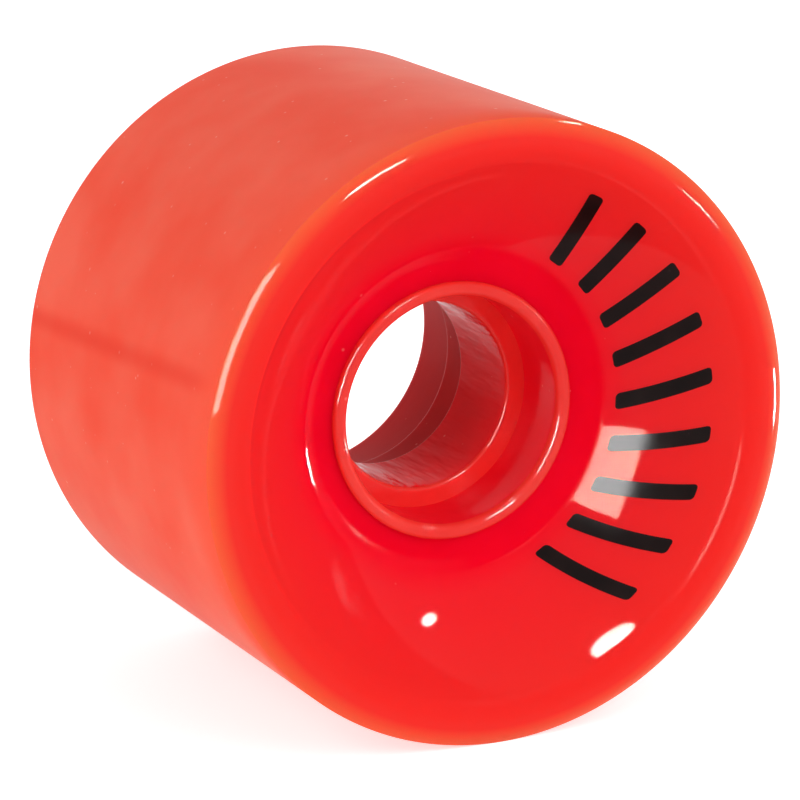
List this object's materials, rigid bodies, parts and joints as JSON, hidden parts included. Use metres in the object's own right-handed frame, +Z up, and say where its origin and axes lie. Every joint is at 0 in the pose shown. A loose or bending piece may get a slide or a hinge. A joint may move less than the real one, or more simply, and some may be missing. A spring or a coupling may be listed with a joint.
{
  "type": "roller skate wheel",
  "caption": "Red cast polyurethane skate wheel with a ground tread, a dished front, and a hub core with a bearing seat on each side of a bored web.",
  "frame": {"origin": "centre of the wheel, on its axis and midway across its width", "axes": "+Y along the wheel's axis towards the rear face, -Y out of the dished front, +Z up"},
  "size_m": [0.059, 0.045, 0.059],
  "materials": {
    "tyre": "cast polyurethane, glossy on the sides and ground on the tread",
    "hub_core": "moulded, gloss"
  },
  "bodies": {
    "root": {"tyre": "tyre", "hub_core": "hub_core"}
  },
  "joints": []
}
